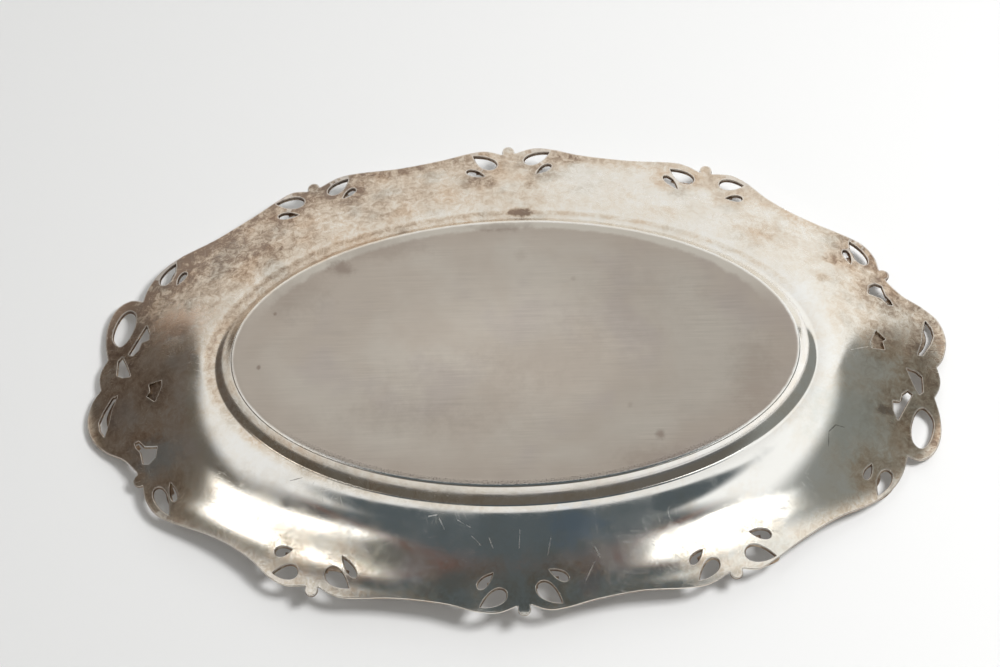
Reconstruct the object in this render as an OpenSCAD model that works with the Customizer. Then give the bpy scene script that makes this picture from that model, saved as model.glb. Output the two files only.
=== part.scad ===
// Oval dresser tray: one drawn and pierced plate with a flat base, a steep wall
// and a wide flange, and struck mounts soldered along the face of its rim.
// Origin: centre of the underside of the base. +X along the tray, +Z up.
// The rim is the same after half a turn about Z, so one half is described
// and the other half is that one turned.

/* [Body] */
// Half length of the flat base, to its edge
base_a = 115; // [112:0.5:117]
// Half width of the flat base, to its edge
base_b = 60; // [58:0.5:62]
// Thickness of the plate
plate_t = 1.2; // [1.0:0.1:1.6]
// Height of the wall, up to the hollow behind the flange
wall_h = 6.8; // [6:0.2:8]
// Height of the underside of the rim at the middle of a long side
rim_h = 17.8; // [16:0.2:20]
// Extra height of the rim at the two ends
end_rise = 9.5; // [8:0.5:11]
// Width of the wall at the ends, from the base's edge to the hollow behind the flange
wall_a = 11; // [9:0.5:12]
// Width of the wall at the middle of a long side
wall_b = 8; // [7:0.5:10]

/* [Rim] */
// Half length of the oval that the rim swings about
rim_a = 178; // [178:0.5:179]
// Half width of the oval that the rim swings about
rim_b = 107; // [107:0.5:108]
// Radius of the small buds between the lobes
bud_r = 2.7; // [2.4:0.1:3.0]

/* [Mounts] */
// Thickness of the struck mounts
mount_t = 1.6; // [1.2:0.1:2.0]
// Thickness of the edge strips
strip_t = 1.4; // [1.2:0.1:2.0]
// Width of the edge strips
strip_w = 2.6; // [2:0.1:3]
// Width of the frame around a pierced hole
frame_w = 1.7; // [1.4:0.1:2.0]

/* [Hidden] */

steps = 80;          // places round each oval
per_span = 3;        // places on each span of the rim curve
big = 400;           // longer than the tray
tall = 60;           // taller than the tray
gap = 0.15;          // solder line between neighbouring mounts
silver = [0.78, 0.76, 0.72];
gilt = [0.70, 0.66, 0.58];

// Section of the wall's underside: share of the wall's width from the base edge, share of wall_h
wall = [[0, 0], [0.235, 0.02], [0.3, 0.08], [0.467, 0.424], [0.645, 0.72], [0.824, 0.924], [1, 1]];
// Rings of the flange as shares of the way from the hollow to the rim oval
flange = [0.2, 0.4, 0.6, 0.8, 1, 1.13];
n_wall = len(wall);
n_ring = n_wall + len(flange);

// Share of the flange's height: an S curve that still climbs a little at the rim
function rise(s) = let(t = min(s, 1), u = min(max(s - 1, 0), 0.1))
  0.7 * t * t * (3 - 2 * t) + 0.3 * t * t + 0.6 * (u - 5 * u * u);
function rim_z(x) = rim_h + end_rise * pow(x / rim_a, 2);
function wall_at(i) = [wall[i][0] * 10, wall[i][1] * wall_h];
function slope_at(i) = wall_at(min(i + 1, n_wall - 1)) - wall_at(max(i - 1, 0));
// Step from the section to the inner face of the plate, square to the section
function inward(i) = let(d = i == 0 || i == n_wall - 1 ? [1, 0] : slope_at(i))
  plate_t * [-d[1], d[0]] / norm(d);

function wall_pt(q, i, step) = [(base_a + wall_a * wall[i][0] + step[0]) * cos(q),
  (base_b + wall_b * wall[i][0] + step[0]) * sin(q), wall[i][1] * wall_h + step[1]];
function flange_pt(q, s, lift) = let(
    x = (base_a + wall_a + (rim_a - base_a - wall_a) * s) * cos(q),
    y = (base_b + wall_b + (rim_b - base_b - wall_b) * s) * sin(q))
  [x, y, wall_h + (rim_z(x) - wall_h) * rise(s) + lift];
function under(i, q) = i < n_wall ? wall_pt(q, i, [0, 0]) : flange_pt(q, flange[i - n_wall], 0);
function over(i, q, lift = 0) = i < n_wall ? wall_pt(q, i, inward(i))
  : flange_pt(q, flange[i - n_wall], plate_t + lift);
function turn_at(j) = 360 * j / steps;

// Faces between ring a and ring b, each a run of steps points starting at that index
function band(a, b) = [for (j = [0 : steps - 1]) let(k = (j + 1) % steps)
  each [[a + j, b + j, b + k], [a + j, b + k, a + k]]];
function flip(faces) = [for (f = faces) [f[2], f[1], f[0]]];

module plate() {
  low = [for (i = [0 : n_ring - 1]) for (j = [0 : steps - 1]) under(i, turn_at(j))];
  high = [for (i = [0 : n_ring - 1]) for (j = [0 : steps - 1]) over(i, turn_at(j))];
  top = n_ring * steps;
  mid = 2 * top;
  polyhedron(
    points = concat(low, high, [[0, 0, 0], [0, 0, plate_t]]),
    faces = concat(
      [for (i = [0 : n_ring - 2]) each band(i * steps, (i + 1) * steps)],
      [for (i = [0 : n_ring - 2]) each flip(band(top + i * steps, top + (i + 1) * steps))],
      band((n_ring - 1) * steps, top + (n_ring - 1) * steps),
      [for (j = [0 : steps - 1]) [mid, j, (j + 1) % steps]],
      [for (j = [0 : steps - 1]) [mid + 1, top + (j + 1) % steps, top + j]]),
    convexity = 8);
}

// A layer lying on the face of the flange, from ring first outwards
module layer(t, first = n_wall + 1) {
  rows = n_ring - first;
  low = [for (i = [first : n_ring - 1]) for (j = [0 : steps - 1]) over(i, turn_at(j))];
  high = [for (i = [first : n_ring - 1]) for (j = [0 : steps - 1]) over(i, turn_at(j), t)];
  top = rows * steps;
  polyhedron(
    points = concat(low, high),
    faces = concat(
      [for (i = [0 : rows - 2]) each band(i * steps, (i + 1) * steps)],
      [for (i = [0 : rows - 2]) each flip(band(top + i * steps, top + (i + 1) * steps))],
      band((rows - 1) * steps, top + (rows - 1) * steps),
      flip(band(0, top))),
    convexity = 8);
}

// Smooth curve through points, with free ends
function blend(a, b, c, d, t) = 0.5 * (2 * b + (c - a) * t
  + (2 * a - 5 * b + 4 * c - d) * t * t + (3 * b - a - 3 * c + d) * t * t * t);
function curve(p, n = per_span) = let(m = len(p) - 1)
  [for (i = [0 : m - 1]) for (k = [0 : n - 1])
    blend(p[max(i - 1, 0)], p[i], p[i + 1], p[min(i + 2, m)], k / n)];
function whole(p) = concat(curve(p), [p[len(p) - 1]]);

// Half of the rim, clockwise from the notch under the left loop; each row runs from notch to notch
rim_runs = [
  [[-161, -41.5], [-166.5, -43], [-172.5, -39.5], [-176, -32], [-176.5, -23], [-174.8, -14.3]],
  [[-174.8, -14.3], [-177.4, -9.5], [-178, -5], [-177, 0]],
  [[-177, 0], [-180.6, 5.5], [-182.2, 14], [-179.5, 22.8], [-173, 29], [-165, 33.8], [-159, 40]],
  [[-156, 46.5], [-154.6, 53], [-150, 59.3], [-142, 63.8], [-130, 69], [-120, 74.3],
    [-110, 81.6], [-102, 89.6], [-95, 93.8], [-87, 94.4]],
  [[-81.3, 95.3], [-76, 98.7], [-69, 100.6], [-50, 101.5], [-30, 104.6], [-18, 108.1],
    [-9, 109.1], [-1.2, 106.6]],
  [[5, 106], [12, 108.2], [20, 107.2], [32, 104], [50, 100.8], [68, 99.8], [77, 98], [84.6, 93.6]],
  [[90.6, 91.7], [97, 91.7], [104, 87.6], [115, 79.5], [130, 69.9], [145, 62.9], [154, 56],
    [159, 48.5], [161, 41.5]],
];
buds = [[-157.6, 43.8], [-84.2, 96.2], [2, 107.6], [87.7, 93.2]];
half_rim = [for (r = rim_runs) each curve(r)];
rim = concat(half_rim, -half_rim);

// Drops pierced beside each bud: centre of the round end, its radius, the far tip, its radius
drops_1 = [[[-149, 50.7], 2.9, [-143.9, 59.4], 0.5], [[-142.1, 53.4], 1.5, [-143.4, 47.6], 0.4]];
drops_2 = [[[-92.7, 88.3], 3.1, [-99.8, 87.4], 0.5], [[-97.3, 80.2], 2, [-92.4, 79.4], 0.4],
  [[-75.4, 91], 3.5, [-70, 97], 0.9], [[-66.9, 91], 1.7, [-71.6, 84.9], 0.4]];
drops_3 = [[[-8, 102.2], 3.1, [-16, 105.4], 0.5], [[-15.1, 97.9], 1.9, [-10.9, 93.5], 0.4],
  [[10.2, 100], 3.3, [17.6, 104.4], 0.7], [[18.4, 95.7], 1.9, [13, 92.4], 0.4]];
drops_4 = [[[78.4, 90.6], 2.9, [72.2, 95.8], 0.5], [[70.4, 89.2], 1.7, [73.5, 85], 0.4],
  [[94.8, 85.4], 3.4, [103.6, 85.2], 0.6], [[100.5, 78.1], 2, [94, 76.9], 0.4]];
drops_5 = [[[151.4, 51.2], 2.9, [147, 58.6], 0.5], [[143.1, 51.8], 1.5, [145.1, 47.2], 0.4]];
all_drops = [drops_1, drops_2, drops_3, drops_4, drops_5];

// Holes of the left end: the loop's egg, and outlines of the others
loop = [[-170, -24.5], 4, [-167, -32.5], 4.4];
heart = [[-164.2, -15.2], [-162.4, -13.6], [-160.3, -15.3], [-159.7, -19], [-156.4, -19.5],
  [-156.5, -23.4], [-157.9, -27.2]];
petal = [[-170, -5.4], [-166.6, -3.4], [-163.2, -3.2], [-165.2, -8], [-167.9, -14], [-169.9, -12.8]];
swoosh = [[-174.1, 22.2], [-177, 16.4], [-175.2, 10.6], [-171.4, 5.4], [-171.8, 11], [-172.3, 17]];
star = [[-153.6, 10.2], [-151.8, 11], [-150, 9.9], [-150, 7], [-149, 4], [-151, 3.4],
  [-153.3, 2.8], [-152.6, 6.4]];
key_head = [[-153.5, 34.2], 3.4];
key_tail = [[-155.8, 31.6], 1.2, [-158.2, 29], 0.9];

// Stems of the decorated ends, each a run of points with one width
stem_w = 2.2;
stems = [[[-163, 32.5], [-158, 29]], [[-152, 30], [-148.8, 20], [-151.5, 10]],
  [[-151.5, 4], [-154.5, -7], [-160, -15]], [[-149, 20], [-158, 15], [-166, 16], [-172, 13]]];

module drop(d, grow = 0) {
  hull() {
    translate(d[0]) circle(r = d[1] + grow, $fn = 14);
    translate(d[2]) circle(r = d[3] + grow, $fn = 8);
  }
}
module drops(list, grow = 0) {
  for (d = list) drop(d, grow);
}
module end_holes(grow = 0) {
  drop(loop, grow);
  offset(r = grow, $fn = 8) {
    polygon(heart);
    polygon(petal);
    polygon(swoosh);
    polygon(star);
    translate(key_head[0]) circle(r = key_head[1], $fn = 14);
    drop(key_tail);
  }
}
module half_holes(grow = 0) {
  for (list = all_drops) drops(list, grow);
  end_holes(grow);
}
module holes(grow = 0) {
  for (a = [0, 180]) rotate(a) half_holes(grow);
}
module sheet() {
  polygon(rim);
  for (a = [0, 180]) rotate(a) for (b = buds) translate(b) circle(r = bud_r - 0.3, $fn = 20);
}
module window(x0, x1, y0, y1) {
  translate([x0, y0]) square([x1 - x0, y1 - y0]);
}
// The part of a flat outline within a window, raised to a layer on the flange
module on_face(t) {
  intersection() {
    layer(t);
    linear_extrude(tall) children();
  }
}

module tray_body() {
  color(silver) difference() {
    intersection() {
      plate();
      translate([0, 0, -1]) linear_extrude(tall) sheet();
    }
    translate([0, 0, -1]) linear_extrude(tall) holes();
  }
}
// Frames round the drops beside one bud, the stem between them and the bud's dome
module bud_mount(i) {
  b = buds[i];
  list = all_drops[i];
  inward = -b / norm([b[0] / 4, b[1]]) * 9;
  color(gilt) union() {
    on_face(mount_t) difference() {
      intersection() {
        union() {
          drops(list, frame_w);
          translate(b) circle(r = bud_r, $fn = 20);
          hull() {
            translate(b) circle(r = bud_r - 0.2, $fn = 16);
            translate(b + inward) circle(r = 1.6, $fn = 12);
          }
          for (d = list) hull() {
            translate(b + inward) circle(r = 1.6, $fn = 12);
            translate(d[0]) circle(r = d[1], $fn = 16);
          }
        }
        union() {
          polygon(rim);
          translate(b) circle(r = bud_r, $fn = 20);
        }
      }
      drops(list);
      end_frames(gap);
    }
    translate([b[0], b[1], rim_z(b[0]) + plate_t + mount_t / 2])
      rotate_extrude($fn = 20) intersection() {
        circle(r = bud_r - 0.4, $fn = 20);
        square(bud_r);
      }
  }
}
// The whole decorated end, from the loop to the sweep below the first bud
module end_frames(grow = 0) {
  offset(delta = grow) intersection() {
    union() {
      difference() {
        polygon(rim);
        offset(delta = -3.4) polygon(rim);
      }
      end_holes(frame_w);
      for (s = stems) let(p = whole(s)) for (i = [0 : len(p) - 2]) hull() {
        translate(p[i]) circle(d = stem_w, $fn = 8);
        translate(p[i + 1]) circle(d = stem_w, $fn = 8);
      }
    }
    window(-190, -145, -41, 39.2);
  }
}
module end_mount(a) {
  color(gilt) rotate(a) on_face(mount_t) difference() {
    intersection() {
      end_frames();
      polygon(rim);
    }
    end_holes();
  }
}
module leaf_mount(a) {
  color(gilt) rotate(a) on_face(mount_t) difference() {
    intersection() {
      polygon(rim);
      union() {
        drops(drops_5, frame_w);
        hull() {
          translate(drops_5[0][0]) circle(r = 2);
          translate(drops_5[1][0]) circle(r = 1.5);
        }
      }
      window(100, 190, 41.2, 100);
    }
    drops(drops_5);
  }
}
// Reaches of the four edge strips of one half, between the mounts
reaches = [[-140.5, -103.5], [-64, -19.5], [21.5, 68], [107.5, 143.5]];
module edge_strip(i, a) {
  color(gilt) rotate(a) on_face(strip_t) intersection() {
    difference() {
      polygon(rim);
      offset(delta = -strip_w) polygon(rim);
    }
    window(reaches[i][0], reaches[i][1], 40, 130);
  }
}

tray_body();
end_mount(0);  // end_mount_left
end_mount(180);  // end_mount_right
bud_mount(0);  // bud_mount_1
bud_mount(1);  // bud_mount_2
bud_mount(2);  // bud_mount_3
bud_mount(3);  // bud_mount_4
rotate(180) bud_mount(0);  // bud_mount_5
rotate(180) bud_mount(1);  // bud_mount_6
rotate(180) bud_mount(2);  // bud_mount_7
rotate(180) bud_mount(3);  // bud_mount_8
leaf_mount(180);  // leaf_mount_left
leaf_mount(0);  // leaf_mount_right
edge_strip(0, 0);  // edge_strip_1
edge_strip(1, 0);  // edge_strip_2
edge_strip(2, 0);  // edge_strip_3
edge_strip(3, 0);  // edge_strip_4
edge_strip(0, 180);  // edge_strip_5
edge_strip(1, 180);  // edge_strip_6
edge_strip(2, 180);  // edge_strip_7
edge_strip(3, 180);  // edge_strip_8
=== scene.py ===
"""Oval dresser tray in worn silver plate: a pierced plate with struck mounts along its rim.

The tray stands the right way up on its base. The camera looks at it from underneath, as if it lay
face down on a pale table, so there is a table above the rim, seen only from below, and a floor
under the base, seen only from above. All shapes are worked out in millimetres.
"""

import bpy
import numpy as np
from mathutils import Matrix, Vector
from mathutils.geometry import delaunay_2d_cdt

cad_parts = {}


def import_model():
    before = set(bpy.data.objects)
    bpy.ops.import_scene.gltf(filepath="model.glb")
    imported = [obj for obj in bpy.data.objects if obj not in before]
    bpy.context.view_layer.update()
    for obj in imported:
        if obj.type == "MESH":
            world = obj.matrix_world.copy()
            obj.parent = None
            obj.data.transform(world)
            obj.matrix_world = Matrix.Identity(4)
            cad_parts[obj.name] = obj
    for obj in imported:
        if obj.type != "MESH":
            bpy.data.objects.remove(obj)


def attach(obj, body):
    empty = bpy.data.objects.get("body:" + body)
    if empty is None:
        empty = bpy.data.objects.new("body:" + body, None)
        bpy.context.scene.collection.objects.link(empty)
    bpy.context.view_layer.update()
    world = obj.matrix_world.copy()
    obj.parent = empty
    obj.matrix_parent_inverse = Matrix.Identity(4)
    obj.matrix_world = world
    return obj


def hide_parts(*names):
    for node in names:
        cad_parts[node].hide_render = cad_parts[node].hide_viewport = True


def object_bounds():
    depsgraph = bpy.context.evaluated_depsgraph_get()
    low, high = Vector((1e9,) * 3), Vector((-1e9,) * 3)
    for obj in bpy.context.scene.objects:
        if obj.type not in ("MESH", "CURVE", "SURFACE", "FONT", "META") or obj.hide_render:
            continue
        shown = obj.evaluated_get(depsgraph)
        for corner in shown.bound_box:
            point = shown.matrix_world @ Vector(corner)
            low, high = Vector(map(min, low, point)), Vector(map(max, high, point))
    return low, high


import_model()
cad_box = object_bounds()

MM = 0.001
BASE = (115.0, 60.0)        # half length and half width of the flat base
HOLLOW = (126.0, 68.0)      # the hollow behind the flange
RIM = (178.0, 107.0)        # the oval that the rim swings about
WALL_H, RIM_H, END_RISE = 6.8, 17.8, 9.5
PLATE_T, MOUNT_T, STRIP_T = 1.2, 1.6, 1.4
EDGE_R = 0.3                # rounding of the plate's edges
LIFT = 0.02                 # the mounts stand this far off the plate's face
INNER = 0.22                # where the pierced part of the flange begins, as a share of its width
BUD_R = 2.7
SECTION_W = 10              # width that the wall's section is drawn at before it is fitted to the tray
SHOULDER_LENGTHS = (0, 1.7, 2.4, 2.75, 3.1)   # lengths along the shoulder, and its slope there in degrees
SHOULDER_SLOPES = (0, 4, 12, 44, 56)
GRID_STEP = 1.45            # spacing of the points that fill the pierced flange
TURNS = 400                 # places round the base, wall and inner flange


# ---------------------------------------------------------------- shapes

def ease(s):
    """S curve: 3s^2 - 2s^3 between 0 and 1, flat outside."""
    s = np.clip(s, 0, 1)
    return s * s * (3 - 2 * s)


def rise(s):
    """Share of the flange's height at a share s of its width: mostly an S curve, with 30 percent of s^2
    so that it still climbs at the rim, and levels off in the last tenth past it."""
    t, u = np.clip(s, 0, 1), np.clip(s - 1, 0, 0.1)
    return 0.7 * t * t * (3 - 2 * t) + 0.3 * t * t + 0.6 * (u - 5 * u * u)


def reach(x, y):
    """Share of the way from the hollow's oval (0) to the rim oval (1) of the oval through (x, y), found
    by Newton's steps."""
    s = np.full(np.shape(x), 0.5)
    for _ in range(9):
        a = HOLLOW[0] + (RIM[0] - HOLLOW[0]) * s
        b = HOLLOW[1] + (RIM[1] - HOLLOW[1]) * s
        f = (x / a) ** 2 + (y / b) ** 2 - 1
        slope = -2 * ((x / a) ** 2 * (RIM[0] - HOLLOW[0]) / a + (y / b) ** 2 * (RIM[1] - HOLLOW[1]) / b)
        s = np.clip(s - f / np.minimum(slope, -1e-4), -0.2, 1.3)
    return s


def flange_z(x, y):
    """Height of the flange's underside: an S curve from the hollow to a rim that rises with x squared."""
    rim = RIM_H + END_RISE * (x / RIM[0]) ** 2
    return WALL_H + (rim - WALL_H) * rise(reach(x, y))


def flange_normal(x, y, h=0.05):
    """Unit normals of the flange, pointing up, from the height's differences over h."""
    zx = (flange_z(x + h, y) - flange_z(x - h, y)) / (2 * h)
    zy = (flange_z(x, y + h) - flange_z(x, y - h)) / (2 * h)
    n = np.stack([-zx, -zy, np.ones_like(zx)], -1)
    return n / np.linalg.norm(n, axis=-1, keepdims=True)


def wall_section():
    """Section of the underside from the base's edge (0) to the hollow (1), drawn SECTION_W wide: the
    shoulder's slope grows slowly to 12 degrees and then turns at once to 56, summed up in small steps,
    and a cubic lies down from there to the hollow. Returns share, height and direction."""
    length = np.linspace(0, SHOULDER_LENGTHS[-1], 22)
    slope = np.radians(np.interp(length, SHOULDER_LENGTHS, SHOULDER_SLOPES))
    step = (length[1:] - length[:-1])[:, None]
    way = np.stack([np.cos(slope), np.sin(slope)], -1)
    turn = np.concatenate([[[0, 0]], np.cumsum((way[1:] + way[:-1]) / 2 * step, 0)])
    p0, p3 = turn[-1], np.array([SECTION_W, WALL_H])
    p1, p2 = p0 + 4 * way[-1], p3 - np.array([2.3, 0])
    t = np.linspace(0, 1, 30)[1:, None]
    cub = (1 - t) ** 3 * p0 + 3 * (1 - t) ** 2 * t * p1 + 3 * (1 - t) * t ** 2 * p2 + t ** 3 * p3
    der = (1 - t) ** 2 * (p1 - p0) + 2 * (1 - t) * t * (p2 - p1) + t ** 2 * (p3 - p2)
    pts = np.concatenate([turn, cub])
    return pts[:, 0] / SECTION_W, pts[:, 1], np.concatenate([way, der])


def curve(points, n):
    """Catmull-Rom curve through points with n places a span, and the last point left out."""
    p = np.asarray(points, float)
    p = np.concatenate([p[:1], p, p[-1:]])
    t = (np.arange(n) / n)[None, :, None]
    a, b, c, d = (p[i:len(p) - 3 + i, None, :] for i in range(4))
    return (0.5 * (2 * b + (c - a) * t + (2 * a - 5 * b + 4 * c - d) * t ** 2
                   + (3 * b - a - 3 * c + d) * t ** 3)).reshape(-1, 2)


def whole(points, n):
    """The same curve with its last point."""
    return np.concatenate([curve(points, n), [points[-1]]])


def ring(points, n):
    """Closed Catmull-Rom curve through points."""
    p = np.asarray(points, float)
    q = curve(np.concatenate([p[-1:], p, p[:2]]), n)
    return q[n:-n]


def sawn(points, n=5):
    """Closed path of straight sides with each corner a little worn."""
    p = np.asarray(points, float)
    b = np.roll(p, -1, 0)
    t = np.concatenate([[0.06], np.linspace(0.06, 0.94, n)[1:]])[None, :, None]
    return (p[:, None] * (1 - t) + b[:, None] * t).reshape(-1, 2)


def arc(centre, r, start, end, n=14):
    """Arc from start to end, turning clockwise, with both ends on the circle."""
    a0 = np.arctan2(*(np.array(start) - centre)[::-1])
    a1 = np.arctan2(*(np.array(end) - centre)[::-1])
    a1 -= 2 * np.pi * (a1 > a0)
    a = np.linspace(a0, a1, n)
    return np.array(centre) + r * np.stack([np.cos(a), np.sin(a)], -1)


def sideways(p, closed=True):
    """Unit vectors to the left of a path at each of its points."""
    d = np.roll(p, -1, 0) - np.roll(p, 1, 0)
    if not closed:
        d[0], d[-1] = p[1] - p[0], p[-1] - p[-2]
    d /= np.maximum(np.linalg.norm(d, axis=1, keepdims=True), 1e-9)
    return np.stack([-d[:, 1], d[:, 0]], -1)


# Half of the rim, clockwise seen from above, from the notch under the left loop; each row is one sweep
RIM_RUNS = [
    [(-161, -41.5), (-166.5, -43), (-172.5, -39.5), (-176, -32), (-176.5, -23), (-174.8, -14.3)],
    [(-174.8, -14.3), (-177.4, -9.5), (-178, -5), (-177, 0)],
    [(-177, 0), (-180.6, 5.5), (-182.2, 14), (-179.5, 22.8), (-173, 29), (-165, 33.8), (-159, 40)],
    [(-156, 46.5), (-154.6, 53), (-150, 59.3), (-142, 63.8), (-130, 69), (-120, 74.3),
     (-110, 81.6), (-102, 89.6), (-95, 93.8), (-87, 94.4)],
    [(-81.3, 95.3), (-76, 98.7), (-69, 100.6), (-50, 101.5), (-30, 104.6), (-18, 108.1),
     (-9, 109.1), (-1.2, 106.6)],
    [(5, 106), (12, 108.2), (20, 107.2), (32, 104), (50, 100.8), (68, 99.8), (77, 98), (84.6, 93.6)],
    [(90.6, 91.7), (97, 91.7), (104, 87.6), (115, 79.5), (130, 69.9), (145, 62.9), (154, 56),
     (159, 48.5), (161, 41.5)],
]
BUDS = [(-157.6, 43.8), (-84.2, 96.2), (2, 107.6), (87.7, 93.2)]
# Pierced drops beside each bud, and the pair beside the loop: round end, its radius, tip, sideways bend
DROPS = [
    [((-149, 50.7), 2.9, (-143.9, 59.4), 0.5), ((-142.1, 53.4), 1.6, (-143.4, 47.6), -0.2)],
    [((-92.7, 88.3), 3.1, (-99.8, 87.4), -0.6), ((-97.3, 80.2), 2, (-92.4, 79.4), 0.3),
     ((-75.4, 91), 3.5, (-70, 97.2), -0.8), ((-66.9, 91), 1.8, (-71.6, 84.9), 0.4)],
    [((-8, 102.2), 3.2, (-16, 105.4), -0.7), ((-15.1, 97.9), 1.9, (-10.9, 93.5), 0.3),
     ((10.2, 100), 3.4, (17.6, 104.4), 0.7), ((18.4, 95.7), 1.9, (13, 92.4), -0.4)],
    [((78.4, 90.6), 2.9, (72.2, 95.8), -0.6), ((70.4, 89.2), 1.7, (73.5, 85), 0.3),
     ((94.8, 85.4), 3.4, (103.6, 85.2), 0.7), ((100.5, 78.1), 2, (94, 76.9), -0.4)],
    [((151.4, 51.2), 2.9, (147, 58.6), -0.5), ((143.1, 51.8), 1.6, (145.1, 47.2), 0.2)],
]
# Holes of the left end, each a closed curve through its points
LOOP = [(-170.4, -20.2), (-173.3, -24.5), (-172.6, -30.5), (-169.8, -36), (-166.5, -37.6), (-163.7, -34.8),
        (-163.4, -29.5), (-165.2, -23.8), (-167.8, -20.4)]
HEART = [(-165.2, -14.6), (-163.2, -13.2), (-160.6, -15.4), (-159.6, -18.8), (-156.2, -19.2),
         (-156.1, -22.8), (-157.9, -27.4), (-161.8, -20.6)]
PETAL = [(-170, -5.6), (-167.4, -3.7), (-163.4, -3.1), (-164.6, -6.6), (-166.2, -10.5), (-168.1, -14.2),
         (-169.9, -12.6)]
SWOOSH = [(-174.1, 22.2), (-176.3, 18.8), (-176.9, 15), (-175, 10.4), (-171.3, 4.6), (-168.9, 4.4),
          (-171.5, 10.8), (-172.6, 17)]
STAR = [(-154.4, 3.4), (-148.8, 3.0), (-148.6, 5.4), (-149.8, 8.6), (-151.4, 12), (-155.2, 8.6),
        (-153.6, 7.2)]
KEY = [(-156.2, 37.2), (-153.4, 37.9), (-150.6, 35.8), (-149.8, 31.4), (-152.4, 30.9), (-155.6, 30.2),
       (-158.4, 27.2), (-160.2, 27.6), (-159.4, 29.8), (-157.4, 32.2), (-156.8, 34.6)]


def drop(centre, r, tip, bend, n=44):
    """Drop shape: x = cos t along its length, y = sin t sin(t/2) across, bent sideways towards the tip."""
    c, q = np.array(centre, float), np.array(tip, float)
    along = (q - c) / np.linalg.norm(q - c)
    across = np.array([-along[1], along[0]])
    length = np.linalg.norm(q - c) + r + 0.4
    t = np.linspace(0, 2 * np.pi, n, endpoint=False)
    u = (np.cos(t) + 1) / 2
    w = np.sin(t) * np.abs(np.sin(t / 2)) ** 0.85 / 0.80 * r
    return (c - along * r + np.outer(u * length, along)
            + np.outer(w + bend * u ** 2 * 1.6, across))


def half_outline(r, n=9):
    """Half of the rim with an arc of radius r at each bud."""
    runs = [curve(p, n) for p in RIM_RUNS]
    out = runs[:3]
    for i, b in enumerate(BUDS):
        last, first = RIM_RUNS[2 + i][-1], RIM_RUNS[3 + i][0]
        out += [np.array([last], float), arc(b, r, last, first), runs[3 + i]]
    return np.concatenate(out)


END_HOLES = [ring(LOOP, 6), sawn(HEART), sawn(PETAL, 6), sawn(SWOOSH), sawn(STAR, 6), sawn(KEY, 4)]


def holes():
    """Outlines of every hole of the half with the left end, then the same turned half round."""
    half = [drop(*d) for group in DROPS for d in group]
    half += END_HOLES
    return half + [-h for h in half]


def area(p):
    """Signed area of a closed path, positive when it runs anticlockwise."""
    q = np.roll(p, -1, 0)
    return 0.5 * np.sum(p[:, 0] * q[:, 1] - q[:, 0] * p[:, 1])


def inside(pts, loop):
    """True where a point is within a closed path, by counting the crossings of a ray."""
    a, b = loop, np.roll(loop, -1, 0)
    y = pts[:, 1:2]
    cross = (a[:, 1] > y) != (b[:, 1] > y)
    x = a[:, 0] + (y - a[:, 1]) / np.where(b[:, 1] == a[:, 1], 1e-9, b[:, 1] - a[:, 1]) * (b[:, 0] - a[:, 0])
    return np.sum(cross & (pts[:, 0:1] < x), 1) % 2 == 1


def distance(pts, loops, chunk=4000):
    """Distance from each point to the nearest point of the loops."""
    edge = np.concatenate(loops)
    return np.concatenate([np.sqrt(((pts[i:i + chunk, None] - edge[None]) ** 2).sum(-1).min(1))
                           for i in range(0, len(pts), chunk)])


def add_mesh(name, verts, faces, normals=None, marks=None):
    """Mesh object from millimetre points and faces, with unit normals and named marks per point."""
    me = bpy.data.meshes.new(name)
    me.from_pydata((np.asarray(verts) * MM).tolist(), [], faces)
    me.validate()
    me.polygons.foreach_set("use_smooth", np.ones(len(me.polygons), bool))
    for key, value in (marks or {}).items():
        at = me.attributes.new(key, "FLOAT", "POINT")
        at.data.foreach_set("value", np.asarray(value, np.float32))
    if normals is not None:
        me.normals_split_custom_set_from_vertices(np.asarray(normals).tolist())
    ob = bpy.data.objects.new(name, me)
    bpy.context.scene.collection.objects.link(ob)
    return ob


def grid_faces(rows, cols, start=0, closed=True, flip=False):
    """Quads of a grid of rows by cols points; closed joins the last column to the first."""
    i, j = np.meshgrid(np.arange(rows - 1), np.arange(cols if closed else cols - 1), indexing="ij")
    k = (j + 1) % cols
    q = np.stack([i * cols + j, i * cols + k, (i + 1) * cols + k, (i + 1) * cols + j], -1)
    q = q.reshape(-1, 4) + start
    return (q[:, ::-1] if flip else q).tolist()


# ---------------------------------------------------------------- the plate

angle = np.linspace(0, 2 * np.pi, TURNS, endpoint=False)
cos_sin = np.stack([np.cos(angle), np.sin(angle)], -1)


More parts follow.
